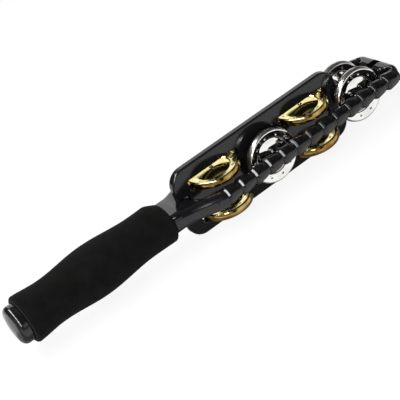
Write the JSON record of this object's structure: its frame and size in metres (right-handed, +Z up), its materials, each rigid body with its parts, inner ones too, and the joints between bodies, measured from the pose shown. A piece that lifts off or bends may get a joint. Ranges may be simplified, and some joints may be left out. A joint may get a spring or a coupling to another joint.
{
  "type": "jingle stick",
  "caption": "Hand-held jingle stick: foam grip, ribbed loop frame and an upright plate whose loose brass and steel jingle pairs slide on pins and ring when it is shaken.",
  "frame": {"origin": "on the stick's long axis, half way along the foam grip", "axes": "+X along the stick to the bow, +Z up in the plate's plane, -Y to the front rail"},
  "size_m": [0.3546, 0.0576, 0.0572],
  "materials": {
    "foam": "matt foam",
    "cap_plastic": "gloss",
    "frame_plastic": "semi-gloss",
    "plate_plastic": "gloss",
    "pin_steel": "plain",
    "brass": "polished",
    "nickel_steel": "polished nickel plate"
  },
  "bodies": {
    "stick": {"loop_frame": "frame_plastic", "jingle_plate": "plate_plastic", "foam_grip": "foam", "end_cap": "cap_plastic", "brass_jingle_pin_1": "pin_steel", "brass_jingle_pin_3": "pin_steel", "cross_pin_2": "pin_steel", "cross_pin_4": "pin_steel"},
    "brass_1_upper_pair_under": {"brass_1_upper_pair_under": "brass"},
    "brass_1_upper_pair_over": {"brass_1_upper_pair_over": "brass"},
    "brass_1_lower_pair_under": {"brass_1_lower_pair_under": "brass"},
    "brass_1_lower_pair_over": {"brass_1_lower_pair_over": "brass"},
    "brass_3_upper_pair_under": {"brass_3_upper_pair_under": "brass"},
    "brass_3_upper_pair_over": {"brass_3_upper_pair_over": "brass"},
    "brass_3_lower_pair_under": {"brass_3_lower_pair_under": "brass"},
    "brass_3_lower_pair_over": {"brass_3_lower_pair_over": "brass"},
    "steel_2_front_pair_outer": {"steel_2_front_pair_outer": "nickel_steel"},
    "steel_2_front_pair_inner": {"steel_2_front_pair_inner": "nickel_steel"},
    "steel_2_rear_pair_outer": {"steel_2_rear_pair_outer": "nickel_steel"},
    "steel_2_rear_pair_inner": {"steel_2_rear_pair_inner": "nickel_steel"},
    "steel_4_front_pair_outer": {"steel_4_front_pair_outer": "nickel_steel"},
    "steel_4_front_pair_inner": {"steel_4_front_pair_inner": "nickel_steel"},
    "steel_4_rear_pair_outer": {"steel_4_rear_pair_outer": "nickel_steel"},
    "steel_4_rear_pair_inner": {"steel_4_rear_pair_inner": "nickel_steel"}
  },
  "joints": [
    {"name": "brass_1_upper_pair_under_slide", "type": "slide", "parent": "stick", "child": "brass_1_upper_pair_under", "axis": [0, 0, 1], "range_m": [0, 0.0012]},
    {"name": "brass_1_upper_pair_over_slide", "type": "slide", "parent": "brass_1_upper_pair_under", "child": "brass_1_upper_pair_over", "axis": [0, 0, 1], "range_m": [0, 0.0015]},
    {"name": "brass_1_lower_pair_under_slide", "type": "slide", "parent": "stick", "child": "brass_1_lower_pair_under", "axis": [0, 0, 1], "range_m": [0, 0.0012]},
    {"name": "brass_1_lower_pair_over_slide", "type": "slide", "parent": "brass_1_lower_pair_under", "child": "brass_1_lower_pair_over", "axis": [0, 0, 1], "range_m": [0, 0.0015]},
    {"name": "brass_3_upper_pair_under_slide", "type": "slide", "parent": "stick", "child": "brass_3_upper_pair_under", "axis": [0, 0, 1], "range_m": [0, 0.0012]},
    {"name": "brass_3_upper_pair_over_slide", "type": "slide", "parent": "brass_3_upper_pair_under", "child": "brass_3_upper_pair_over", "axis": [0, 0, 1], "range_m": [0, 0.0015]},
    {"name": "brass_3_lower_pair_under_slide", "type": "slide", "parent": "stick", "child": "brass_3_lower_pair_under", "axis": [0, 0, 1], "range_m": [0, 0.0012]},
    {"name": "brass_3_lower_pair_over_slide", "type": "slide", "parent": "brass_3_lower_pair_under", "child": "brass_3_lower_pair_over", "axis": [0, 0, 1], "range_m": [0, 0.0015]},
    {"name": "steel_2_front_pair_outer_slide", "type": "slide", "parent": "stick", "child": "steel_2_front_pair_outer", "axis": [0, 1, 0], "range_m": [0, 0.00265]},
    {"name": "steel_2_front_pair_inner_slide", "type": "slide", "parent": "steel_2_front_pair_outer", "child": "steel_2_front_pair_inner", "axis": [0, 1, 0], "range_m": [0, 0.00265]},
    {"name": "steel_2_rear_pair_outer_slide", "type": "slide", "parent": "stick", "child": "steel_2_rear_pair_outer", "axis": [0, 1, 0], "range_m": [-0.0015, 0.0023]},
    {"name": "steel_2_rear_pair_inner_slide", "type": "slide", "parent": "steel_2_rear_pair_outer", "child": "steel_2_rear_pair_inner", "axis": [0, 1, 0], "range_m": [-0.0015, 0]},
    {"name": "steel_4_front_pair_outer_slide", "type": "slide", "parent": "stick", "child": "steel_4_front_pair_outer", "axis": [0, 1, 0], "range_m": [0, 0.00265]},
    {"name": "steel_4_front_pair_inner_slide", "type": "slide", "parent": "steel_4_front_pair_outer", "child": "steel_4_front_pair_inner", "axis": [0, 1, 0], "range_m": [0, 0.00265]},
    {"name": "steel_4_rear_pair_outer_slide", "type": "slide", "parent": "stick", "child": "steel_4_rear_pair_outer", "axis": [0, 1, 0], "range_m": [-0.0015, 0.0023]},
    {"name": "steel_4_rear_pair_inner_slide", "type": "slide", "parent": "steel_4_rear_pair_outer", "child": "steel_4_rear_pair_inner", "axis": [0, 1, 0], "range_m": [-0.0015, 0]}
  ]
}
